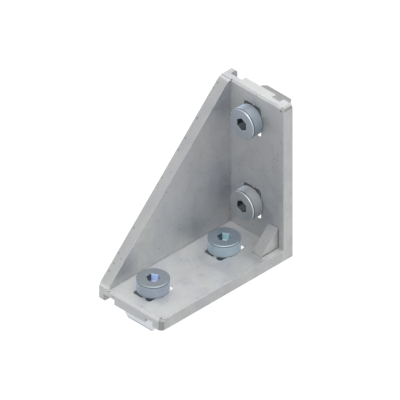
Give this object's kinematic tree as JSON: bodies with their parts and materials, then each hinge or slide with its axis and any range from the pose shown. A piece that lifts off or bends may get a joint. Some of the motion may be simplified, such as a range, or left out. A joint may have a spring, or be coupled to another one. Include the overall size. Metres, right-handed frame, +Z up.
{
  "type": "t slot corner bracket",
  "caption": "Heavy right-angle corner bracket for slotted profile: slotted legs, side gusset and small rib, with low-head socket screws and slot nuts fitted.",
  "frame": {"origin": "the outer corner of the bracket, where the two mounting planes meet, at mid-width", "axes": "+X out along the floor leg, +Z up along the wall leg, +Y across the width from the gusset to the open side; the floor leg mounts on Z = 0 facing -Z and the wall leg on X = 0 facing -X"},
  "size_m": [0.0836, 0.035, 0.0836],
  "materials": {
    "cast_aluminium": "as cast, tumbled, satin grey",
    "zinc_screw": "zinc plated, bluish, semi-gloss",
    "zinc_nut": "zinc plated, satin"
  },
  "bodies": {
    "root": {"bracket": "cast_aluminium", "screw_floor_inner": "zinc_screw", "screw_floor_outer": "zinc_screw", "screw_wall_inner": "zinc_screw", "screw_wall_outer": "zinc_screw", "t_nut_floor_inner": "zinc_nut", "t_nut_floor_outer": "zinc_nut", "t_nut_wall_inner": "zinc_nut", "t_nut_wall_outer": "zinc_nut"}
  },
  "joints": []
}
